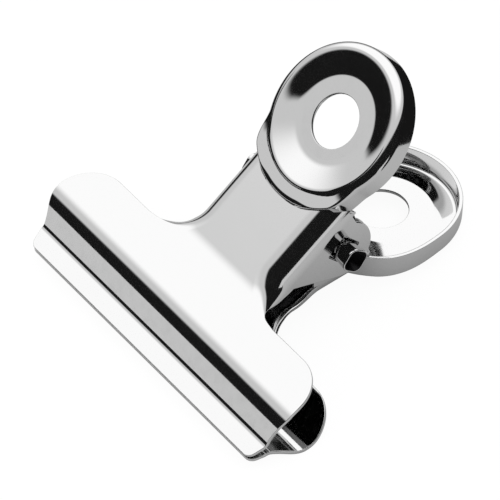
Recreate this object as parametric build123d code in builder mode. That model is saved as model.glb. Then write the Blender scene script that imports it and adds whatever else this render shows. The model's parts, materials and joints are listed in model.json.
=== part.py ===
"""Bulldog clip: two levers pressed from plated steel sheet, hinged on side lugs, and a bent strip spring.

The clip lies on its back: the rear belly and the rim of the rear thumb disc rest on the table at z = 0.
Each lever is drawn in its own frame, with x across the jaw, y along the lever from the lip towards the
thumb disc, and z outwards from the plane where the two lips meet.
"""
import os
from math import asin, atan2, cos, degrees, hypot, radians, sin, sqrt, tan

from build123d import *

# Sheet and jaw
sheet = 0.5
jaw_width = 50.0
lip_width = 47.4
lip_height = 2.5
lip_flare = 13.0
lip_gap = 0.1
lip_corner = 1.8
crease_radius = 0.7
belly_along = 6.75
belly_out = 4.3
belly_radius = 6.0
belly_fall = 8.0
jaw_height = 12.8
jaw_corner = 5.5
side_straight = 0.8
side_corner = 4.0
side_step_corner = 1.0
shoulder_radius = 5.0
shoulder_tail = 0.6
shoulder_tail_corner = 0.3
shoulder_taper = 2.5
shoulder_taper_corner = 1.2
web_lap = 1.0
rear_drop = 0.4

# Channel neck and ears
neck_angle = 15.0
neck_radius = 9.0
neck_width = 16.8
neck_bend = 2.5
ear_clearance = 0.3
ear_radius = 4.0
ear_gap = 1.5
flange_throat = 3.5
flange_throat_out = 1.4
flange_slope = 35.0
flange_depth = 16.0

# Pivot
pivot_along = 26.7
pivot_hole = 3.5
pivot_turn = 18.0
lug_size = 2.9
lug_corner = 1.1
lug_reach = 1.8

# Thumb disc
hole_along = 35.7
hole_out = 10.1
handle_angle = 22.5
hole_radius = 3.45
flat_radius = 5.9
dish_radius = 4.0
rim_radius = 10.1
rim_height = 1.55
rim_roll = 1.0
skirt_radius = 10.2
skirt_depth = 2.4
collar_radius = 11.4
collar_height = 0.66

# Strip spring
spring_sheet = 0.6
spring_width = 11.0
spring_along = 19.6
spring_bend = 2.2
spring_tip = 27.7
spring_seat = 0.15

# Outer face of a lever in its side view, as (along, out)
lip_out = lip_gap / 2 + sheet * cos(radians(lip_flare))
crease_out = lip_out + lip_height * tan(radians(lip_flare))
lip_point = (0, lip_out)
crease_point = (lip_height, crease_out)
belly_point = (belly_along, belly_out)


def handle_point(radial, high):
    """(along, out) of a point in the thumb disc's frame, radial from the hole and high above its flat."""
    turn = radians(handle_angle)
    along = hole_along + radial * cos(turn) - high * sin(turn)
    out = hole_out + radial * sin(turn) + high * cos(turn)
    return along, out


# The web of the neck runs back from the edge of the disc's ledge and bends where it meets the belly's line
belly_slope = tan(radians(belly_fall))
neck_slope = tan(radians(neck_angle))
collar_foot = handle_point(-collar_radius, collar_height)
belly_line = belly_out + belly_along * belly_slope
web_line = collar_foot[1] - collar_foot[0] * neck_slope
neck_along = (belly_line - web_line) / (belly_slope + neck_slope)
neck_out = belly_line - neck_along * belly_slope
neck_point = (neck_along, neck_out)
web_point = (hole_along, web_line + hole_along * neck_slope)

# Outline of the jaw's end: it widens from the lip to a short straight side below the top corner
side_along = jaw_height - jaw_corner - side_straight
side_turn = abs(atan2((jaw_width - lip_width) / 2, side_along - lip_height))
side_fillet = side_straight / max(tan(side_turn / 2), side_straight / side_corner)

# Centres of the belly's bend and of the rim's roll, which the clip lies on
rise = atan2(belly_out - crease_out, belly_along - lip_height)
belly_turn = rise + radians(belly_fall)
belly_reach = belly_radius / cos(belly_turn / 2)
belly_lean = (rise - radians(belly_fall)) / 2
belly_centre = (belly_along + belly_reach * sin(belly_lean), belly_out - belly_reach * cos(belly_lean))
dish_slope = atan2(rim_height, rim_radius - flat_radius)
wall_lean = atan2(skirt_radius - rim_radius, rim_height + skirt_depth)
rim_turn = (radians(90) + dish_slope - wall_lean) / 2
rim_reach = rim_roll / cos(rim_turn)
rim_lean = rim_turn - dish_slope
roll_centre = handle_point(rim_radius - rim_reach * sin(rim_lean), rim_height - rim_reach * cos(rim_lean))

# The tilt of the meeting plane when the rear belly and the rear rim are on the table
run = roll_centre[0] - belly_centre[0]
drop = roll_centre[1] - belly_centre[1]
tilt = atan2(drop, run) - asin((belly_radius - rim_roll) / hypot(run, drop))
belly_foot = (belly_centre[0] - rear_drop) * sin(tilt) - belly_centre[1] * cos(tilt) - belly_radius
skirt_end = handle_point(skirt_radius, -skirt_depth)
far_end = (skirt_end[0] - rear_drop) * cos(tilt) + skirt_end[1] * sin(tilt)
near_end = -rear_drop * cos(tilt) + lip_gap / 2 * sin(tilt)
lip_y = -(far_end + near_end) / 2
lip_z = -belly_foot

# Lever frames: the rear one is the front one turned over about the line along the clip
along_dir = Vector(0, cos(tilt), sin(tilt))
front_out = Vector(0, -sin(tilt), cos(tilt))
front_base = Plane(origin=(0, lip_y, lip_z), x_dir=(1, 0, 0), z_dir=front_out)
rear_base = Plane(origin=front_base.origin - along_dir * rear_drop, x_dir=(-1, 0, 0), z_dir=-front_out)


def side_view(base):
    """Plane of a lever's side view, local x along and local y out."""
    return Plane(origin=base.origin, x_dir=base.y_dir, z_dir=base.x_dir)


def disc_frame(base):
    """Frame of the thumb disc: origin at the hole, local x across, local y along the disc, local z out."""
    turn = radians(handle_angle)
    normal = base.z_dir * cos(turn) - base.y_dir * sin(turn)
    hole_centre = base.from_local_coords(Vector(0, hole_along, hole_out))
    return Plane(origin=hole_centre, x_dir=base.x_dir, z_dir=normal)


def bent_strip(points, radii, thickness):
    """Section of a sheet bent along a line of points, with the given outer line and bend radii."""
    with BuildSketch(mode=Mode.PRIVATE) as strip:
        with BuildLine():
            FilletPolyline(*points, radius=radii)
            offset(amount=thickness, side=Side.RIGHT)
        make_face()
    return strip.sketch


def jaw_and_web(base, neck_half):
    """Jaw plate with the flat of the neck: the bent section trimmed to the outline of the blank."""
    web_half = neck_half - neck_bend - web_lap
    shoulder_top = jaw_height + shoulder_radius
    outline = [
        (0, 0),
        (lip_width / 2, 0),
        (lip_width / 2, lip_height),
        (jaw_width / 2, side_along),
        (jaw_width / 2, jaw_height),
        (neck_half, jaw_height),
        (neck_half, shoulder_top + shoulder_tail),
        (web_half, shoulder_top + shoulder_taper),
        (web_half, hole_along),
        (0, hole_along),
    ]
    outline_radii = [
        lip_corner,
        side_step_corner,
        side_fillet,
        jaw_corner,
        shoulder_radius,
        shoulder_tail_corner,
        shoulder_taper_corner,
        shoulder_tail_corner,
    ]
    with BuildPart() as jaw:
        with BuildSketch(side_view(base)):
            profile = [lip_point, crease_point, belly_point, neck_point, web_point]
            add(bent_strip(profile, [crease_radius, belly_radius, neck_radius], sheet))
        extrude(amount=jaw_width / 2, both=True)
        with BuildSketch(base):
            with BuildLine():
                half = FilletPolyline(*outline, radius=outline_radii)
                mirror(half, about=Plane.YZ)
            make_face()
        extrude(amount=2 * hole_out, both=True, mode=Mode.INTERSECT)
    return jaw.part


def channel(base, neck_half, pivot):
    """Rounded bends and side ears of the neck, run along the web and trimmed to the ears' outline."""
    slant = radians(neck_angle)
    web_dir = base.y_dir * cos(slant) + base.z_dir * sin(slant)
    web_start = base.from_local_coords(Vector(0, jaw_height, web_line + jaw_height * neck_slope))
    with BuildPart() as neck:
        with BuildSketch(Plane(origin=web_start, x_dir=-base.x_dir, z_dir=web_dir)):
            left = [(-neck_half, -flange_depth), (-neck_half, 0)]
            right = [(neck_half, 0), (neck_half, -flange_depth)]
            add(bent_strip(left + right, [neck_bend, neck_bend], sheet))
        extrude(amount=(hole_along - jaw_height) / cos(slant))
        skirt_corner = handle_point(-sqrt(skirt_radius**2 - neck_half**2), -skirt_depth)
        ear_top = skirt_corner[0] - ear_gap
        throat = (neck_along + flange_throat, flange_throat_out)
        slope = radians(flange_slope)
        meeting = (pivot - ear_radius / sin(slope), 0)
        tangent = (pivot - ear_radius * sin(slope), -ear_radius * cos(slope))
        above = web_point[1] + neck_bend
        with BuildSketch(side_view(base)):
            with BuildLine():
                Polyline((jaw_height, above), (jaw_height, neck_out - sheet), throat, meeting, tangent,
                         (pivot, 0), (ear_top, 0), (ear_top, above), close=True)
            make_face()
            with Locations((pivot, 0)):
                Circle(ear_radius)
        extrude(amount=jaw_width / 2, both=True, mode=Mode.INTERSECT)
    return neck.part


def thumb_disc(base, neck_half):
    """Dished disc with its rolled rim, skirt and hole, and the ledge that joins it to the neck."""
    disc = disc_frame(base)
    section_plane = Plane(origin=disc.origin, x_dir=disc.y_dir, z_dir=disc.x_dir)
    ledge_half = asin((neck_half - neck_bend / 2) / collar_radius)
    with BuildPart() as cup:
        with BuildSketch(section_plane):
            dish = [(hole_radius, 0), (flat_radius, 0), (rim_radius, rim_height)]
            skirt = [(skirt_radius, -skirt_depth)]
            add(bent_strip(dish + skirt, [dish_radius, rim_roll], sheet))
        revolve(axis=Axis(disc.origin, disc.z_dir))
        with BuildSketch(disc.offset(-2 * skirt_depth)):
            with Locations((0, -rim_radius)):
                Rectangle(2 * (neck_half - sheet), rim_radius - flat_radius)
        extrude(amount=2 * skirt_depth + collar_height / 2, mode=Mode.SUBTRACT)
        ledge_start = -disc.y_dir * cos(ledge_half) - disc.x_dir * sin(ledge_half)
        ledge_width = collar_radius + sheet - rim_radius + rim_roll
        with BuildSketch(Plane(origin=disc.origin, x_dir=ledge_start, z_dir=ledge_start.cross(disc.z_dir))):
            with Locations((rim_radius - rim_roll, collar_height)):
                Rectangle(ledge_width, sheet, align=(Align.MIN, Align.MAX))
        revolve(axis=Axis(disc.origin, disc.z_dir), revolution_arc=2 * degrees(ledge_half))
    return cup.part


def pressing(base, neck_half, pivot):
    """One lever as pressed, before its ears are pierced or drawn into lugs."""
    disc = disc_frame(base)
    with BuildPart() as lever:
        add(jaw_and_web(base, neck_half))
        add(channel(base, neck_half, pivot))
        with BuildSketch(disc.offset(-2 * skirt_depth)):
            Circle(rim_radius)
        extrude(amount=2 * (skirt_depth + rim_height), mode=Mode.SUBTRACT)
        add(thumb_disc(base, neck_half))
    return lever.part


os.makedirs("parts", exist_ok=True)

# Front lever, with a square pivot hole in each ear
front_half = neck_width / 2
with BuildPart() as front_jaw:
    add(pressing(front_base, front_half, pivot_along))
    with BuildSketch(side_view(front_base)):
        with Locations((pivot_along, 0)):
            Rectangle(pivot_hole, pivot_hole, rotation=pivot_turn)
    extrude(amount=front_half + sheet, both=True, mode=Mode.SUBTRACT)
front_jaw.part.label = "front_jaw"
export_step(front_jaw.part, "parts/front_jaw.step")

# Rear lever: its ears run inside the front ears, and a lug on each passes out through the square hole
rear_half = front_half - sheet - ear_clearance
rear_pivot = pivot_along + rear_drop
with BuildPart() as lugs:
    with BuildSketch(side_view(rear_base)):
        with Locations((rear_pivot, 0)):
            RectangleRounded(lug_size, lug_size, lug_corner, rotation=-pivot_turn)
    extrude(amount=front_half + lug_reach, both=True)
    with BuildSketch(side_view(rear_base)):
        with Locations((rear_pivot, 0)):
            Rectangle(pivot_hole, pivot_hole)
    extrude(amount=rear_half - sheet, both=True, mode=Mode.SUBTRACT)
with BuildPart() as rear_jaw:
    add(pressing(rear_base, rear_half, rear_pivot))
    add(lugs.part)
rear_jaw.part.label = "rear_jaw"
export_step(rear_jaw.part, "parts/rear_jaw.step")

# Strip spring between the necks: a U whose arms bear on the insides of the two webs
seat_out = web_line + spring_tip * neck_slope - sheet / cos(radians(neck_angle)) - spring_seat
with BuildPart() as spring:
    with BuildSketch(side_view(front_base)):
        back = spring_along - spring_bend
        rear_arm = [(spring_tip, -seat_out), (back, -spring_bend)]
        front_arm = [(back, spring_bend), (spring_tip, seat_out)]
        add(bent_strip(rear_arm + front_arm, [spring_bend, spring_bend], spring_sheet))
    extrude(amount=spring_width / 2, both=True)
spring.part.label = "spring"
export_step(spring.part, "parts/spring.step")
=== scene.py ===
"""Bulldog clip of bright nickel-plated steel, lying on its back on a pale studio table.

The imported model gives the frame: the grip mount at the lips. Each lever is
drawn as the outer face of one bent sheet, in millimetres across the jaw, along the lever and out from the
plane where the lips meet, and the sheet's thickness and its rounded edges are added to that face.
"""
import json
from math import asin, atan2, ceil, cos, degrees, hypot, pi, radians, sin, sqrt, tan

import bpy
import numpy as np
from mathutils import Matrix, Vector, kdtree
from mathutils.geometry import tessellate_polygon


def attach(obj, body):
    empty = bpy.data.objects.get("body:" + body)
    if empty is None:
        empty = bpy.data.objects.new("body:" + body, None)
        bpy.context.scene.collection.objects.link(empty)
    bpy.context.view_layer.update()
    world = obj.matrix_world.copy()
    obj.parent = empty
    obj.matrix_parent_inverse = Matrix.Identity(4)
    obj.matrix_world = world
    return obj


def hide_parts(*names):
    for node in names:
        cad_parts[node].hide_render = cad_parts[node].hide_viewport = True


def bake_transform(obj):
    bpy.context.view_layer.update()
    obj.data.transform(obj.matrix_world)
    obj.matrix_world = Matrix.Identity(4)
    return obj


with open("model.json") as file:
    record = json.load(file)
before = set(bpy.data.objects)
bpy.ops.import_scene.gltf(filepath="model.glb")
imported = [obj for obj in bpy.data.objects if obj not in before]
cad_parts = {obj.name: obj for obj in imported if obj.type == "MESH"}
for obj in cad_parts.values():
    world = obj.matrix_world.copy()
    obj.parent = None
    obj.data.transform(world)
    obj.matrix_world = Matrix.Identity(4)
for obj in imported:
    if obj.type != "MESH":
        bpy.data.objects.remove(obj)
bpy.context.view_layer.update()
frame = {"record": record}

MM = 0.001

# Sheet and jaw, in millimetres and degrees
sheet = 0.5
edge_round = 0.1
lip_foot = 23.1
lip_half = 23.75
lip_corner = 0.8
lip_out = 0.54
lip_flare = 8.0
lip_straight = 2.17
crease_bend = 1.4
jaw_half = 24.9
side_start = 2.6
side_end = 6.6
jaw_height = 12.8
jaw_corner = 5.5
rise_angle = 41.0
rise_straight = 2.3
belly_bend = 5.1
belly_fall = 8.0
shoulder_radius = 5.0
rear_drop = 0.4
rear_lip_trim = 0.3

# Channel neck, ears and pivot
neck_angle = 15.0
neck_bend_radius = 9.0
neck_half = 8.4
neck_side_bend = 3.3
rear_side_bend = 2.2
bend_fade = 80.0
front_turn = (90.0, 20.0, 90.0)
rear_turn = (72.0, 0.0, 90.0)
ear_clearance = 0.3
ear_radius = 4.0
ear_notch = (29.6, 4.94)
ear_shoulder_out = 2.6
flange_depth = 0.5
flange_fade = 45.0
rear_turn_run = 3.2
rear_flare = 0.75
pivot_along = 26.7
pivot_hole = 3.5
pivot_corner = 0.3
pivot_turn = 23.0
lug_size = 2.75
lug_corner = 0.85
lug_turn = 32.0
lug_flare = 0.2
lug_reach = 2.4
lug_pocket = 2.0
lug_wall = 0.4
lug_clear = 0.15
lug_root = ((0.0, 0.25), (0.1, 0.06), (0.2, 0.0))
lug_lip = ((0.3, 0.04), (0.08, 0.0), (0.0, 0.06), (0.0, 0.14), (0.08, 0.22))

# Thumb disc: radii from the hole and heights above its flat
hole_along = 35.7
hole_out = 10.1
handle_angle = 22.5
hole_radius = 3.6
flat_radius = 5.8
dish_bend = 2.0
dish_slope = 19.5
neck_flat_radius = 5.0
neck_dish_bend = 4.0
neck_dish_slope = 13.5
neck_crest_bend = 1.2
dish_blend = (50.0, 120.0)
crest_bend = 4.5
crest_radius = 9.05
rim_roll = 1.1
neck_roll = 0.5
roll_blend = (20.0, 50.0)
rim_foot_drop = 38.0
rim_foot = 0.04
wall_bulge = 2.6
skirt_edge = -2.4
ledge_rise = 2.0
ledge_radius = 11.35
ledge_edges = ((10.7, 1.3, 28.0), (11.15, 0.2, 90.0))
ledge_turn = (14.0, 30.0)
ledge_sink = 16.0
front_ledge_fade = (40.0, 64.0)
rear_ledge_fade = (50.0, 102.0)
web_height = 0.55
web_lap = 0.12

# Strip spring
spring_sheet = 0.6
spring_width = 11.0
spring_back = 17.4
spring_bend = 2.2
spring_tip = 27.7
spring_seat = 0.15

# Rows and points of the meshes, and the least sizes that keep their faces open
jaw_row_counts = (9, 5, 15, 34, 22)
shoulder_rows = 31
neck_rows = 41
neck_columns = 37
wing_columns = 14
wing_crowding = 1.5
fold_columns = 15
flange_rows = 5
ear_steps = 33
hole_corner_steps = 6
lug_corner_steps = 7
lug_caps = 2
shaded_pocket_bands = 2
section_counts = (44, 26, 16, 14)
swing_steps = ((0, 38, 2), (38, 62, 0.75), (62, 100, 1.5))
swing_free = (100, 180, 41)
weld_reach = 0.002
least_size = 0.001
least_drop = 0.05

# Frame of the front lever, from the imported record
mounts = {mount["name"]: mount for mount in frame["record"]["mounts"]}
across = Vector((1, 0, 0))
along = -Vector(mounts["jaw_grip"]["axis"]).normalized()
out = across.cross(along)
lip_origin = Vector(mounts["jaw_grip"]["pos_m"])


def lever_frame(front):
    """Matrix from lever millimetres to the row frame: the rear lever is the front one turned over."""
    side = 1 if front else -1
    origin = lip_origin if front else lip_origin - along * rear_drop * MM
    columns = [across * side * MM, along * MM, out * side * MM, origin]
    return Matrix([[column[row] for column in columns] for row in range(3)] + [[0, 0, 0, 1]])


def smooth(value):
    """Smooth step from 0 to 1."""
    value = np.clip(value, 0, 1)
    return value * value * (3 - 2 * value)


def bent_line(start, heading, runs, step=0.02):
    """Fine points and headings along a line of runs, each a straight, then a bend radius and its turn."""
    points, headings = [start], [radians(heading)]

    def advance(length, turn):
        count = max(1, ceil(length / step))
        for _ in range(count):
            middle = headings[-1] + turn / count / 2
            last = points[-1]
            points.append((last[0] + length / count * cos(middle), last[1] + length / count * sin(middle)))
            headings.append(headings[-1] + turn / count)

    for straight, radius, turn in runs:
        if straight > 0:
            advance(straight, 0)
        if turn:
            advance(radius * abs(radians(turn)), radians(turn))
    return np.array(points), np.array(headings)


# Side view of a lever's outer face, up to the thumb disc
belly_turn = rise_angle + belly_fall
neck_turn = belly_fall + neck_angle
disc_cos, disc_sin = cos(radians(handle_angle)), sin(radians(handle_angle))
ledge_foot = (hole_along - ledge_radius * disc_cos - web_height * disc_sin,
              hole_out - ledge_radius * disc_sin + web_height * disc_cos)
web_slope = tan(radians(neck_angle))
web_line = ledge_foot[1] - web_slope * ledge_foot[0]
to_crease = [(lip_straight, crease_bend, rise_angle - lip_flare)]
to_belly = to_crease + [(rise_straight, belly_bend, -belly_turn)]
crease_start = lip_straight * cos(radians(lip_flare))
crease_end = bent_line((0, lip_out), lip_flare, to_crease)[0][-1][0]
belly_end = bent_line((0, lip_out), lip_flare, to_belly)[0][-1]
belly_drop = belly_end[1] + belly_end[0] * tan(radians(belly_fall))
neck_corner = (belly_drop - web_line) / (tan(radians(belly_fall)) + web_slope)
belly_run = (neck_corner - belly_end[0]) / cos(radians(belly_fall))
belly_run -= neck_bend_radius * tan(radians(neck_turn / 2))
web_run = 25.0
runs = to_belly + [(belly_run, neck_bend_radius, neck_turn), (web_run, 0, 0)]
side_points, side_headings = bent_line((0, lip_out), lip_flare, runs)


def side_at(a):
    """Height and normal (along, out) of the outer face at the place a along the lever."""
    heading = np.interp(a, side_points[:, 0], side_headings)
    return np.interp(a, side_points[:, 0], side_points[:, 1]), -np.sin(heading), np.cos(heading)


def grid(points, normals, turned=False):
    """Patch of quads over a table of points and normals; turned swaps the faces round."""
    rows, columns = points.shape[:2]
    index = np.arange(rows * columns).reshape(rows, columns)
    quads = np.stack([index[:-1, :-1], index[:-1, 1:], index[1:, 1:], index[1:, :-1]], -1).reshape(-1, 4)
    faces = [tuple(quad[::-1]) if turned else tuple(quad) for quad in quads.tolist()]
    return points.reshape(-1, 3), normals.reshape(-1, 3), faces


def weld(patches):
    """One list of points, normals and faces from patches that share their edges."""
    points = np.concatenate([patch[0] for patch in patches])
    normals = np.concatenate([patch[1] for patch in patches])
    tree = kdtree.KDTree(len(points))
    for number, point in enumerate(points):
        tree.insert(point, number)
    tree.balance()
    first = np.array([min(hit[1] for hit in tree.find_range(point, weld_reach)) for point in points])
    kept, place = np.unique(first, return_inverse=True)
    total = np.zeros((len(kept), 3))
    np.add.at(total, place, normals)
    total /= np.linalg.norm(total, axis=1)[:, None]
    faces, start = [], 0
    for patch in patches:
        for face in patch[2]:
            corners = [int(place[start + corner]) for corner in face]
            corners = [c for n, c in enumerate(corners) if c != corners[n - 1]]
            if len(corners) > 2:
                faces.append(tuple(corners))
        start += len(patch[0])
    return points[kept], total, faces


def thicken(points, normals, faces, rounds=6):
    """Closed sheet of steel behind an outer face, with rounded edges all round it."""
    count = len(points)
    inner = points - normals * sheet
    all_points, all_normals = [points, inner], [normals, -normals]
    all_faces = list(faces) + [tuple(corner + count for corner in reversed(face)) for face in faces]
    used = {}
    for face in faces:
        for number, corner in enumerate(face):
            used[(face[number - 1], corner)] = True
    border = [edge for edge in used if (edge[1], edge[0]) not in used]
    outward = np.zeros((count, 3))
    for a, b in border:
        edge = np.cross(points[b] - points[a], normals[a] + normals[b])
        edge /= np.linalg.norm(edge)
        outward[a] += edge
        outward[b] += edge
    corners = sorted({corner for edge in border for corner in edge})
    outward[corners] /= np.linalg.norm(outward[corners], axis=1)[:, None]
    middle = points[corners] - normals[corners] * sheet / 2
    rings = [{corner: corner for corner in corners}]
    start = 2 * count
    for number in range(1, rounds):
        turn = pi * number / rounds
        all_points.append(middle + normals[corners] * sheet / 2 * cos(turn)
                          + outward[corners] * edge_round * sin(turn))
        round_normal = normals[corners] * cos(turn) / (sheet / 2) + outward[corners] * sin(turn) / edge_round
        all_normals.append(round_normal / np.linalg.norm(round_normal, axis=1)[:, None])
        rings.append({corner: start + place for place, corner in enumerate(corners)})
        start += len(corners)
    rings.append({corner: corner + count for corner in corners})
    for near, far in zip(rings, rings[1:]):
        all_faces += [(near[b], near[a], far[a], far[b]) for a, b in border]
    return np.concatenate(all_points), np.concatenate(all_normals), all_faces


def jaw_end(a, lip_start):
    """Half width of the jaw at the place a along a lever whose lip starts at lip_start."""
    if a > jaw_height - jaw_corner:
        return jaw_half - jaw_corner + sqrt(max(0, jaw_corner ** 2 - (a - jaw_height + jaw_corner) ** 2))
    half = lip_foot + (lip_half - lip_foot) * min(a / crease_start, 1)
    half += (jaw_half - lip_half) * float(smooth((a - side_start) / (side_end - side_start)))
    short = max(lip_start + lip_corner - a, 0)
    return half - lip_corner + sqrt(lip_corner ** 2 - short ** 2)


def web_end(x, radius):
    """Place along the web, at x across, where it meets a circle of that radius round the disc's hole."""
    back = -np.sqrt(np.maximum(radius ** 2 - np.asarray(x) ** 2, 0))
    reach = back + hole_along * disc_cos + (hole_out - web_line) * disc_sin
    return reach / (disc_cos + web_slope * disc_sin)


def sheet_point(x, a):
    """Points and normals of the outer face at x across and a along."""
    x, a = np.broadcast_arrays(np.asarray(x, float), np.asarray(a, float))
    height, normal_along, normal_out = side_at(a)
    return np.stack([x, a, height], -1), np.stack([np.zeros_like(a), normal_along, normal_out], -1)


def patch_of(rows, turned=False):
    """Patch from rows of points and normals."""
    return grid(np.array([points for points, _ in rows]), np.array([normals for _, normals in rows]), turned)


def jaw_and_neck(half, pivot, front):
    """Patches of a lever's outer face: jaw, neck, side bends and ears."""
    lip_start = 0 if front else rear_lip_trim
    side_bend = neck_side_bend if front else rear_side_bend
    shoulder_turn, turn_start, turn_end = front_turn if front else rear_turn
    flare = 0 if front else rear_flare
    shoulder_x = half + flare + shoulder_radius
    shoulder_a = jaw_height + shoulder_radius
    lip_rows, straight_rows, crease_rows, belly_rows, corner_rows = jaw_row_counts
    jaw_rows = np.concatenate([
        lip_start + lip_corner * (1 - np.cos(np.linspace(0, pi / 2, lip_rows)[:-1])),
        np.linspace(lip_start + lip_corner, crease_start, straight_rows)[:-1],
        np.linspace(crease_start, crease_end, crease_rows)[:-1],
        np.linspace(crease_end, jaw_height - jaw_corner, belly_rows)[:-1],
        jaw_height - jaw_corner + jaw_corner * np.sin(np.linspace(0, pi / 2, corner_rows))])
    psi = np.radians(np.linspace(90, 0, shoulder_rows))
    bend = side_bend * (1 - smooth(np.degrees(psi) / bend_fade))
    edge_x = shoulder_x - (shoulder_radius + bend) * np.cos(psi)
    edge_a = shoulder_a - (shoulder_radius + bend) * np.sin(psi)
    straight = np.linspace(0, 1, neck_rows)[1:]

    spread = np.linspace(-1, 1, neck_columns)
    centre = [sheet_point(spread * shoulder_x, a) for a in jaw_rows]
    centre += [sheet_point(spread * x, a) for x, a in zip(edge_x[1:], edge_a[1:])]
    neck_run = web_end(0.0, ledge_radius - sheet) - shoulder_a
    neck_edge = half + flare * (1 - smooth(straight * neck_run / rear_turn_run))
    for t, edge in zip(straight, neck_edge):
        neck_x = spread * (edge - side_bend)
        ends = web_end(neck_x, ledge_radius - sheet)
        centre.append(sheet_point(neck_x, shoulder_a + t * (ends - shoulder_a)))
    patches = [patch_of(centre)]

    wing = 1 - (1 - np.linspace(0, 1, wing_columns)) ** wing_crowding
    fold = np.linspace(0, 1, fold_columns)
    drop = np.linspace(0, 1, flange_rows)[:, None]
    for side in (-1, 1):
        wing_rows = [(shoulder_x + wing * (jaw_end(a, lip_start) - shoulder_x), a) for a in jaw_rows]
        patches.append(patch_of([sheet_point(side * x, a) for x, a in wing_rows], side < 0))

        # Side bend: it grows out of the shoulder's edge and runs on as the round corner of the channel
        bend_rows, ear_from = [], None
        for x, a, turn, radius in zip(edge_x, edge_a, psi, bend):
            share = float(smooth((degrees(turn) - turn_start) / (turn_end - turn_start)))
            angle = shoulder_turn * (1 - share)
            bend_rows.append((np.full(len(fold), a), x, turn, max(radius, least_size), radians(angle)))
        for t, edge in zip(straight, neck_edge):
            fold_x = edge - side_bend * (1 - np.sin(fold * pi / 2))
            a = shoulder_a + t * (web_end(fold_x, ledge_radius - sheet) - shoulder_a)
            share = float(smooth((a[-1] - shoulder_a) / rear_turn_run))
            angle = shoulder_turn + (90 - shoulder_turn) * share
            if share == 1 and ear_from is None:
                ear_from = len(bend_rows)
            bend_rows.append((a, edge - side_bend, 0.0, side_bend, radians(angle)))
        folded, flange = [], []
        for a, x, turn, radius, angle in bend_rows:
            point, normal = sheet_point(np.full(len(fold), side * x), a)
            towards = np.stack([np.full(len(fold), side * cos(turn)), sin(turn) * normal[:, 2],
                                -sin(turn) * normal[:, 1]], -1)
            turned = (fold * angle)[:, None]
            folded.append((point + radius * (np.sin(turned) * towards - (1 - np.cos(turned)) * normal),
                           np.cos(turned) * normal + np.sin(turned) * towards))
            if front and len(flange) < len(psi):
                depth = max(flange_depth * (1 - float(smooth(degrees(turn) / flange_fade))), least_size)
                down = cos(angle) * towards[-1] - sin(angle) * normal[-1]
                flange.append((folded[-1][0][-1] + depth * drop * down,
                               np.repeat(folded[-1][1][-1:], len(drop), 0)))
        patches.append(patch_of(folded, side < 0))
        front_edge = []
        if front:
            patches.append(patch_of(flange, side < 0))
            front_edge = [tuple(point[1:]) for point in flange[-1][0][:0:-1]]
            ear_from = len(psi) - 1
        top_edge = [tuple(points[-1][1:]) for points, _ in folded[ear_from:]]
        patches.append(ear(side * half, pivot, top_edge, front_edge, side < 0, front))
    return patches


def rounded_square(size, corner, turn, steps):
    """Points round a square of the given size with rounded corners, turned by an angle in degrees."""
    reach = (size / 2 - corner) * sqrt(2)
    points = []
    for quarter in range(4):
        middle = radians(90 * quarter + 45 + turn)
        for bow in np.radians(90 * quarter + turn + np.linspace(0, 90, steps)):
            points.append((reach * cos(middle) + corner * cos(bow), reach * sin(middle) + corner * sin(bow)))
    return points


def ear(x, pivot, top_edge, front_edge, turned, pierced):
    """Flat ear below the side bend, round about the pivot, with the square pivot hole if it is pierced."""
    last = front_edge[0] if front_edge else top_edge[0]
    slope = atan2(last[1], pivot - last[0]) + asin(ear_radius / hypot(last[1], pivot - last[0]))
    first = asin(ear_shoulder_out / ear_radius)
    round_end = [(pivot + ear_radius * cos(turn), ear_radius * sin(turn))
                 for turn in np.linspace(first, -pi / 2 - slope, ear_steps)]
    notch = (ear_notch[0] + pivot - pivot_along, ear_notch[1])
    loops = [[Vector((a, o, 0)) for a, o in top_edge + [notch] + round_end + front_edge]]
    if pierced:
        square = rounded_square(pivot_hole, pivot_corner, pivot_turn, hole_corner_steps)
        loops.append([Vector((pivot + a, o, 0)) for a, o in reversed(square)])
    flat = [point for loop in loops for point in loop]
    faces = []
    for face in tessellate_polygon(loops):
        a, b, c = (flat[corner] for corner in face)
        ahead = (b - a).cross(c - a).z > 0
        faces.append(tuple(face) if ahead != turned else tuple(reversed(face)))
    points = np.array([(x, point.x, point.y) for point in flat])
    return points, np.tile([np.sign(x), 0, 0], (len(points), 1)), faces


def even_points(line, count):
    """Points at an even spacing along a fine line."""
    steps = np.concatenate([[0], np.cumsum(np.linalg.norm(np.diff(line, axis=0), axis=1))])
    places = np.linspace(0, steps[-1], count)
    return np.stack([np.interp(places, steps, line[:, 0]), np.interp(places, steps, line[:, 1])], -1)


def disc_section(parts):
    """One section line from its parts, each given the same number of points in every section."""
    lines = [even_points(part, count) for part, count in zip(parts, section_counts)]
    return np.concatenate([lines[0]] + [line[1:] for line in lines[1:]])


def dish_line(flat, bend, slope, top_bend):
    """Flat, dish and inner half of the rolled rim, from the hole to the crest."""
    bends = (bend + top_bend) * sin(radians(slope))
    rise = (crest_radius - flat - bends) / cos(radians(slope))
    return bent_line((hole_radius, 0), 0, [(flat - hole_radius, bend, slope), (rise, top_bend, -slope)])[0]


def free_section(crest):
    """Section outside the crest, away from the neck: rolled rim and skirt."""
    top = bent_line(crest, 0, [(0, rim_roll, -rim_foot_drop)])[0]
    roll = bent_line(tuple(top[-1]), -rim_foot_drop, [(0, rim_roll, rim_foot_drop + wall_bulge - 90)])[0]
    wall_radius = (roll[-1][1] - skirt_edge) / sin(radians(wall_bulge))
    wall = bent_line(tuple(roll[-1]), wall_bulge - 90, [(0, wall_radius, -wall_bulge)])[0]
    return top, roll, wall


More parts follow.
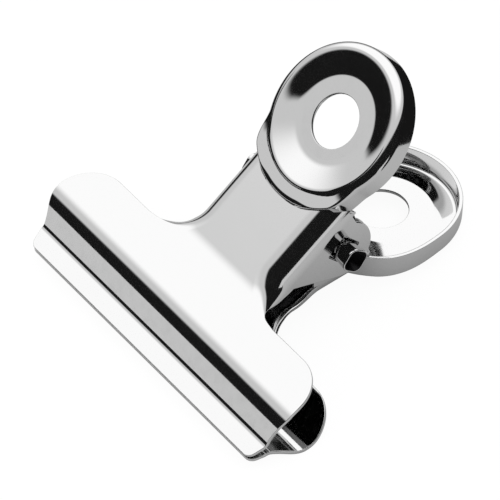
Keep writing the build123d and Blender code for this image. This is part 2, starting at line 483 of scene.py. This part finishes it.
def neck_section(crest, bottom, roll, turned):
    """Section outside the crest, towards the neck: rolled rim, and the ledge with its edge."""
    foot = [(0, roll, -rim_foot_drop), (0, rim_foot, rim_foot_drop + ledge_rise)]
    reach, edge_bend, edge_turn = (a + turned * (b - a) for a, b in zip(*ledge_edges))
    ledge_run = (reach - bent_line(crest, 0, foot)[0][-1][0]) / cos(radians(ledge_rise))
    ledge = bent_line(crest, 0, foot + [(ledge_run, 0, 0)])[0]
    edge = bent_line(tuple(ledge[-1]), ledge_rise, [(0, edge_bend, -edge_turn - ledge_rise)])[0]
    drop = max(edge[-1][1] - bottom, least_drop)
    wall = bent_line(tuple(edge[-1]), -edge_turn, [(drop / sin(radians(edge_turn)), 0, 0)])[0]
    return ledge, edge, wall


def tangents(points):
    """Tangents down the columns of a table of points, allowing for uneven steps."""
    ahead = np.diff(points, axis=0)
    step = np.linalg.norm(ahead, axis=2)[..., None]
    ratio = step[1:] / step[:-1]
    return np.concatenate([ahead[:1], ahead[1:] / ratio + ahead[:-1] * ratio, ahead[-1:]])


def disc_patch(half, front):
    """Patch of the thumb disc in the lever's own millimetres."""
    free_dish = dish_line(flat_radius, dish_bend, dish_slope, crest_bend)
    neck_dish = dish_line(neck_flat_radius, neck_dish_bend, neck_dish_slope, neck_crest_bend)
    free = disc_section((free_dish, *free_section(tuple(free_dish[-1]))))
    corner = degrees(asin(half / ledge_radius))
    swings = np.concatenate([np.arange(*steps) for steps in swing_steps] + [np.linspace(*swing_free)])
    fade_start, fade_end = front_ledge_fade if front else rear_ledge_fade
    sections = {}
    for swing in swings:
        sink = float(smooth((swing - corner + ledge_sink) / ledge_sink))
        lap = web_height - web_lap
        turned = float(smooth((swing - ledge_turn[0]) / (ledge_turn[1] - ledge_turn[0])))
        rolled = float(smooth((swing - roll_blend[0]) / (roll_blend[1] - roll_blend[0])))
        roll = neck_roll + rolled * (rim_roll - neck_roll)
        outside = neck_section(tuple(neck_dish[-1]), lap + sink * (skirt_edge - lap), roll, turned)
        neck = disc_section((neck_dish, *outside))
        inner = float(smooth((swing - dish_blend[0]) / (dish_blend[1] - dish_blend[0])))
        outer = float(smooth((swing - fade_start) / (fade_end - fade_start)))
        share = np.where(np.arange(len(free)) < section_counts[0], inner, outer)[:, None]
        sections[swing] = neck + share * (free - neck)
    angles = np.concatenate([-swings[:0:-1], swings])
    table = np.array([sections[abs(angle)] for angle in angles])
    radial, high = table[..., 0], table[..., 1]
    back = -radial * np.cos(np.radians(angles))[:, None]
    points = np.stack([radial * np.sin(np.radians(angles))[:, None],
                       hole_along + back * disc_cos - high * disc_sin,
                       hole_out + back * disc_sin + high * disc_cos], -1)
    points[-1] = points[0]
    round_about = tangents(np.concatenate([points[-2:-1], points, points[1:2]]))[1:-1]
    outwards = tangents(points.swapaxes(0, 1)).swapaxes(0, 1)
    normals = np.cross(outwards, round_about)
    normals /= np.linalg.norm(normals, axis=2)[..., None]
    return grid(points, normals)


def lever_mesh(name, half, pivot, front, extra=()):
    """Object of one lever: its closed sheets and any extra closed shells, in the row frame."""
    sheets = (jaw_and_neck(half, pivot, front), [disc_patch(half, front)])
    shells = [thicken(*weld(patches)) for patches in sheets] + list(extra)
    points, normals, faces, start = [], [], [], 0
    for shell_points, shell_normals, shell_faces in shells:
        points.append(shell_points)
        normals.append(shell_normals)
        faces += [tuple(corner + start for corner in face) for face in shell_faces]
        start += len(shell_points)
    matrix = np.array(lever_frame(front))
    points = np.concatenate(points) @ matrix[:3, :3].T + matrix[:3, 3]
    normals = np.concatenate(normals) @ (matrix[:3, :3] / MM).T
    mesh = bpy.data.meshes.new(name)
    mesh.from_pydata(points.tolist(), [], faces)
    mesh.shade_smooth()
    mesh.normals_split_custom_set_from_vertices(normals.tolist())
    piece = bpy.data.objects.new(name, mesh)
    bpy.context.collection.objects.link(piece)
    return piece


def lug_shell(side, start_x, pivot):
    """Square lug drawn out of a rear ear: a hollow stub with a rounded end and a blind pocket in it."""
    end = neck_half + lug_reach - start_x
    flat = lug_size / 2
    head = flat + lug_flare
    rings = [(depth, flat + wider) for depth, wider in lug_root]
    rings += [(end - lug_reach + lug_clear, flat)]
    rings += [(end - depth, head - less) for depth, less in lug_lip]
    rings += [(end - lug_pocket, flat - lug_wall)]
    outline = np.array(rounded_square(lug_size, lug_corner, -lug_turn, lug_corner_steps)) / flat
    count = len(outline)
    points = np.array([(side * (start_x + depth), pivot + a * size, o * size)
                       for depth, size in rings for a, o in outline])
    faces = [(ring * count + n, ring * count + (n + 1) % count, (ring + 1) * count + (n + 1) % count,
              (ring + 1) * count + n) for ring in range(len(rings) - 1) for n in range(count)]
    faces += [tuple(range((len(rings) - 1) * count, len(rings) * count)), tuple(range(count))[::-1]]
    faces = faces if side > 0 else [face[::-1] for face in faces]
    shell = bpy.data.meshes.new("lug")
    shell.from_pydata(points.tolist(), [], faces)
    normals = np.array([vertex.normal[:] for vertex in shell.vertices])
    bpy.data.meshes.remove(shell)
    return points, normals, faces


rear_half = neck_half - sheet - ear_clearance
rear_pivot = pivot_along + rear_drop
front_lever = lever_mesh("front_lever", neck_half, pivot_along, True)
lugs = [lug_shell(side, rear_half - sheet / 2, rear_pivot) for side in (-1, 1)]
rear_lever = lever_mesh("rear_lever", rear_half, rear_pivot, False, lugs)
lug_faces = sum(len(faces) for _, _, faces in lugs)
lug_ring = 4 * lug_corner_steps
first_lug = len(rear_lever.data.polygons) - lug_faces
# Faces of the lug pockets' walls and floors, which get the dark steel of the painted pocket shade
painted_shade_faces = set()
for number, (_, _, faces) in enumerate(lugs):
    begin = first_lug + number * len(faces)
    pocket_floor = begin + len(faces) - lug_caps
    painted_shade_faces.update(range(pocket_floor - shaded_pocket_bands * lug_ring, pocket_floor + 1))


def add_node(tree, kind, settings=None, inputs=None):
    """Adds a node with its settings, and links or sets its inputs by name or number."""
    node = tree.nodes.new(kind)
    for name, value in (settings or {}).items():
        setattr(node, name, value)
    for name, value in (inputs or {}).items():
        if isinstance(value, bpy.types.NodeSocket):
            tree.links.new(value, node.inputs[name])
        else:
            node.inputs[name].default_value = value
    return node


def linear(code):
    """Linear colour of an sRGB hex code."""
    values = [int(code[n:n + 2], 16) / 255 for n in (1, 3, 5)]
    return [v / 12.92 if v <= 0.04045 else ((v + 0.055) / 1.055) ** 2.4 for v in values] + [1]


def new_material(name):
    """Empty node material with its output."""
    material = bpy.data.materials.new(name)
    material.use_nodes = True
    material.node_tree.nodes.clear()
    return material, material.node_tree


# Spring: a strip bent round a path, with named sizes
spring_tree = bpy.data.node_groups.new("strip_spring", "GeometryNodeTree")
spring_tree.interface.new_socket("Path", in_out="INPUT", socket_type="NodeSocketGeometry")
socket_width = spring_tree.interface.new_socket("Strip width", in_out="INPUT", socket_type="NodeSocketFloat")
socket_thick = spring_tree.interface.new_socket("Strip thickness", in_out="INPUT",
                                                socket_type="NodeSocketFloat")
socket_bend = spring_tree.interface.new_socket("Bend radius", in_out="INPUT", socket_type="NodeSocketFloat")
socket_steel = spring_tree.interface.new_socket("Steel", in_out="INPUT", socket_type="NodeSocketMaterial")
spring_tree.interface.new_socket("Strip", in_out="OUTPUT", socket_type="NodeSocketGeometry")
group_in = add_node(spring_tree, "NodeGroupInput")
fillet = add_node(spring_tree, "GeometryNodeFilletCurve", {"mode": "POLY"}, {
    "Curve": group_in.outputs["Path"], "Count": 14, "Radius": group_in.outputs["Bend radius"]})
section = add_node(spring_tree, "GeometryNodeCurvePrimitiveQuadrilateral", None, {
    "Width": group_in.outputs["Strip width"], "Height": group_in.outputs["Strip thickness"]})
strip = add_node(spring_tree, "GeometryNodeCurveToMesh", None, {
    "Curve": fillet.outputs["Curve"], "Profile Curve": section.outputs["Curve"], "Fill Caps": True})
whole = add_node(spring_tree, "GeometryNodeRealizeInstances", None, {"Geometry": strip.outputs["Mesh"]})
steel = add_node(spring_tree, "GeometryNodeSetMaterial", None, {
    "Geometry": whole.outputs["Geometry"], "Material": group_in.outputs["Steel"]})
add_node(spring_tree, "NodeGroupOutput", None, {"Strip": steel.outputs["Geometry"]})

# Bright nickel plate on pressed steel: a mirror with a faint haze, and slow waves left by the press
nickel, tree = new_material("bright_nickel_plate")
coords = add_node(tree, "ShaderNodeTexCoord")
waves = add_node(tree, "ShaderNodeTexNoise", None, {
    "Vector": coords.outputs["Object"], "Scale": 1 / (7 * MM), "Detail": 1.0, "Roughness": 0.4})
haze = add_node(tree, "ShaderNodeTexNoise", None, {
    "Vector": coords.outputs["Object"], "Scale": 1 / (1.2 * MM), "Detail": 3.0, "Roughness": 0.6})
haze_range = add_node(tree, "ShaderNodeMapRange", None, {
    "Value": haze.outputs["Fac"], "From Min": 0.3, "From Max": 0.7, "To Min": 0.05, "To Max": 0.09})
bump = add_node(tree, "ShaderNodeBump", None, {
    "Height": waves.outputs["Fac"], "Strength": 0.25, "Distance": 0.05 * MM})
surface = add_node(tree, "ShaderNodeBsdfPrincipled", None, {
    "Base Color": linear("#CBCBCB"), "Metallic": 1.0, "Roughness": haze_range.outputs["Result"],
    "Normal": bump.outputs["Normal"]})
add_node(tree, "ShaderNodeOutputMaterial", None, {"Surface": surface.outputs["BSDF"]})

# Painted shade inside the hollow lugs: the pockets' walls and floors get dark, dull steel that stands in for
# the shade deep in the pockets, with blotchy roughness
pocket_shade, tree = new_material("painted_pocket_shade")
coords = add_node(tree, "ShaderNodeTexCoord")
pocket_roughness = add_node(tree, "ShaderNodeTexNoise", None, {
    "Vector": coords.outputs["Object"], "Scale": 1 / (0.8 * MM), "Detail": 4.0, "Roughness": 0.6})
pocket_roughness_range = add_node(tree, "ShaderNodeMapRange", None, {
    "Value": pocket_roughness.outputs["Fac"], "From Min": 0.3, "From Max": 0.7, "To Min": 0.35, "To Max": 0.55})
surface = add_node(tree, "ShaderNodeBsdfPrincipled", None, {
    "Base Color": linear("#2B2B2C"), "Metallic": 1.0, "Roughness": pocket_roughness_range.outputs["Result"]})
add_node(tree, "ShaderNodeOutputMaterial", None, {"Surface": surface.outputs["BSDF"]})

# Tempered spring strip: dark rolled steel with drawn streaks along it
strip_steel, tree = new_material("tempered_spring_steel")
coords = add_node(tree, "ShaderNodeTexCoord")
drawn = add_node(tree, "ShaderNodeMapping", None, {
    "Vector": coords.outputs["Object"], "Scale": (1.0, 0.06, 0.06)})
streaks = add_node(tree, "ShaderNodeTexNoise", None, {
    "Vector": drawn.outputs["Vector"], "Scale": 1 / (0.3 * MM), "Detail": 3.0})
streak_range = add_node(tree, "ShaderNodeMapRange", None, {
    "Value": streaks.outputs["Fac"], "From Min": 0.3, "From Max": 0.7, "To Min": 0.22, "To Max": 0.42})
surface = add_node(tree, "ShaderNodeBsdfPrincipled", None, {
    "Base Color": linear("#6E6E70"), "Metallic": 1.0, "Roughness": streak_range.outputs["Result"]})
add_node(tree, "ShaderNodeOutputMaterial", None, {"Surface": surface.outputs["BSDF"]})

# Path of the spring's middle line, from the rear arm round the back to the front arm
front_place = lever_frame(True)
seat_out = web_line + spring_tip * web_slope - sheet / cos(radians(neck_angle)) - spring_seat
mid = spring_sheet / 2
path_points = [(spring_tip, -seat_out + mid), (spring_back + mid, -spring_bend + mid),
               (spring_back + mid, spring_bend - mid), (spring_tip, seat_out - mid)]
path = bpy.data.curves.new("spring_path", "CURVE")
path.dimensions = "3D"
spline = path.splines.new("POLY")
spline.points.add(len(path_points) - 1)
for point, (a, o) in zip(spline.points, path_points):
    point.co = (*(front_place @ Vector((0, a, o))), 1)
path_object = bpy.data.objects.new("spring_path", path)
bpy.context.collection.objects.link(path_object)
modifier = path_object.modifiers.new("strip_spring", "NODES")
modifier.node_group = spring_tree
for socket, value in ((socket_width, spring_width * MM), (socket_thick, spring_sheet * MM),
                      (socket_bend, (spring_bend - mid) * MM), (socket_steel, strip_steel)):
    modifier[socket.identifier] = value
graph = bpy.context.evaluated_depsgraph_get()
spring_mesh = bpy.data.meshes.new_from_object(path_object.evaluated_get(graph))
spring_mesh.name = "strip_spring"
bpy.data.objects.remove(path_object)
strip_spring = bpy.data.objects.new("strip_spring", spring_mesh)
bpy.context.collection.objects.link(strip_spring)
strip_spring.data.materials.clear()
strip_spring.data.materials.append(strip_steel)

for lever in (front_lever, rear_lever):
    lever.data.materials.append(nickel)
# The lug pockets get the dark steel that paints the shade inside them
rear_lever.data.materials.append(pocket_shade)
for face in rear_lever.data.polygons[-lug_faces:]:
    face.material_index = int(face.index in painted_shade_faces)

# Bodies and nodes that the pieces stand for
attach(front_lever, "front")
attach(rear_lever, "rear")
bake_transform(strip_spring)
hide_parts("front_jaw")
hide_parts("rear_jaw")
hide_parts("spring")

# Camera: its axes are given in the lever's across, along and out directions, at the photograph's angle
view_azimuth = radians(54.5)
view_elevation = radians(43.23)
view_lean = radians(21.75)
view_distance = 1000.0
view_scale = 8.14
view_shift = (1.58, 0.36)
view_along = 20.0
frame_pixels = 500
sensor = 36.0


def lean(vector):
    """A direction of the leaning view turned to the row frame."""
    flat, high = vector[1], vector[2]
    a = flat * cos(view_lean) + high * sin(view_lean)
    o = -flat * sin(view_lean) + high * cos(view_lean)
    return across * vector[0] + along * a + out * o


view_towards = lean((sin(view_azimuth) * cos(view_elevation), -cos(view_azimuth) * cos(view_elevation),
                     sin(view_elevation)))
view_right = lean((cos(view_azimuth), sin(view_azimuth), 0))
view_up = view_towards.cross(view_right)
view_target = front_place @ Vector((0, view_along, 0))
camera = bpy.data.cameras.new("camera")
camera.sensor_width = sensor
camera.lens = view_scale * view_distance / frame_pixels * sensor
camera.clip_start = 0.01
camera.clip_end = 20
camera_object = bpy.data.objects.new("camera", camera)
bpy.context.collection.objects.link(camera_object)
eye = view_target + (view_towards * view_distance - view_right * view_shift[0] - view_up * view_shift[1]) * MM
camera_object.matrix_world = Matrix([[view_right[row], view_up[row], view_towards[row], eye[row]]
                                     for row in range(3)] + [[0, 0, 0, 1]])
bpy.context.scene.camera = camera_object
bpy.context.scene.view_settings.view_transform = "Standard"

# Pale table: a wide sheet for the camera, and what only the mirror faces show: a glowing patch that stands in
# for the lit part of the table, with painted shade near the clip, and three low white boards
table_size = 6000.0
table_drop = 0.02
lit_drop = 0.01
lit_outline = [(48, 10), (48, 40), (30, 60), (-30, 62), (-60, 30), (-65, -20), (-50, -60), (0, -70),
               (60, -70), (150, -60), (150, 5), (60, 8)]
shade_reach = 30.0
boards = {
    "front_board": ((-104.0, -159.0), 28.0, (1.0, 13.0), 1.0),
    "right_board": ((150.0, -12.0), 32.0, (0.0, 28.0), 1.0),
    "back_board": ((-123.0, 86.0), 60.0, (0.0, 45.0), 0.6),
}


def stage_piece(name, corners, material):
    """Stage piece of one face from its corners in millimetres."""
    mesh = bpy.data.meshes.new(name)
    points = [tuple(value * MM for value in corner) for corner in corners]
    mesh.from_pydata(points, [], [tuple(range(len(corners)))])
    piece = bpy.data.objects.new(name, mesh)
    piece.data.materials.append(material)
    bpy.context.collection.objects.link(piece)
    return piece


pale, tree = new_material("pale_table")
glow = add_node(tree, "ShaderNodeEmission", None, {"Color": linear("#FFFFFF"), "Strength": 0.94})
matt = add_node(tree, "ShaderNodeBsdfDiffuse", None, {"Color": (0.08, 0.08, 0.08, 1)})
both = add_node(tree, "ShaderNodeAddShader", None, {0: glow.outputs["Emission"], 1: matt.outputs["BSDF"]})
add_node(tree, "ShaderNodeOutputMaterial", None, {"Surface": both.outputs["Shader"]})
table = stage_piece("table", [(x * table_size, y * table_size, -table_drop)
                              for x, y in ((-1, -1), (1, -1), (1, 1), (-1, 1))], pale)
table.visible_glossy = False
lit, tree = new_material("lit_table_painted_shade")
# The patch glows in place of the lit table, and the ambient occlusion that sets its strength paints the
# clip's shade on it
shade = add_node(tree, "ShaderNodeAmbientOcclusion", {"samples": 8}, {"Distance": shade_reach * MM})
glow = add_node(tree, "ShaderNodeEmission", None, {
    "Color": linear("#DADADA"), "Strength": shade.outputs["AO"]})
add_node(tree, "ShaderNodeOutputMaterial", None, {"Surface": glow.outputs["Emission"]})
unseen = [stage_piece("lit_patch", [(x, y, -lit_drop) for x, y in lit_outline], lit)]
for name, (place, half, heights, strength) in boards.items():
    board, tree = new_material(name)
    glow = add_node(tree, "ShaderNodeEmission", None, {"Color": linear("#F2F2F2"), "Strength": strength})
    add_node(tree, "ShaderNodeOutputMaterial", None, {"Surface": glow.outputs["Emission"]})
    run = Vector((-place[1], place[0])).normalized() * half
    feet = [(place[0] + sign * run.x, place[1] + sign * run.y) for sign in (-1, 1)]
    corners = [(*feet[0], heights[0]), (*feet[1], heights[0]), (*feet[1], heights[1]), (*feet[0], heights[1])]
    unseen.append(stage_piece(name, corners, board))
for piece in unseen:
    piece.visible_camera = False
    piece.visible_diffuse = False
    piece.visible_shadow = False

# Studio: a dark room with one broad soft light above, to the left and behind, brighter towards its top
light_middle = (-0.45, 0.32, 0.834)
light_edge = (0.42, 0.5)
light_top = (0.6, 0.8)
light_strength = (0.9, 1.6)
room_glow = 0.012
world = bpy.data.worlds.new("studio")
bpy.context.scene.world = world
world.use_nodes = True
tree = world.node_tree
tree.nodes.clear()
ray = add_node(tree, "ShaderNodeTexCoord").outputs["Generated"]
nearness = add_node(tree, "ShaderNodeVectorMath", {"operation": "DOT_PRODUCT"}, {0: ray, 1: light_middle})
box = add_node(tree, "ShaderNodeMapRange", {"interpolation_type": "SMOOTHSTEP"}, {
    "Value": nearness.outputs["Value"], "From Min": light_edge[0], "From Max": light_edge[1]})
strength = add_node(tree, "ShaderNodeMapRange", {"interpolation_type": "SMOOTHSTEP"}, {
    "Value": nearness.outputs["Value"], "From Min": light_top[0], "From Max": light_top[1],
    "To Min": light_strength[0], "To Max": light_strength[1]})
room = add_node(tree, "ShaderNodeMath", {"operation": "MULTIPLY_ADD"}, {
    0: box.outputs["Result"], 1: strength.outputs["Result"], 2: room_glow})
glossy = add_node(tree, "ShaderNodeLightPath").outputs["Is Glossy Ray"]
seen = add_node(tree, "ShaderNodeMix", {"data_type": "FLOAT"}, {0: glossy, 2: 1.0, 3: room.outputs["Value"]})
light = add_node(tree, "ShaderNodeBackground", None, {"Color": (1, 1, 1, 1), "Strength": seen.outputs[0]})
add_node(tree, "ShaderNodeOutputWorld", None, {"Surface": light.outputs["Background"]})
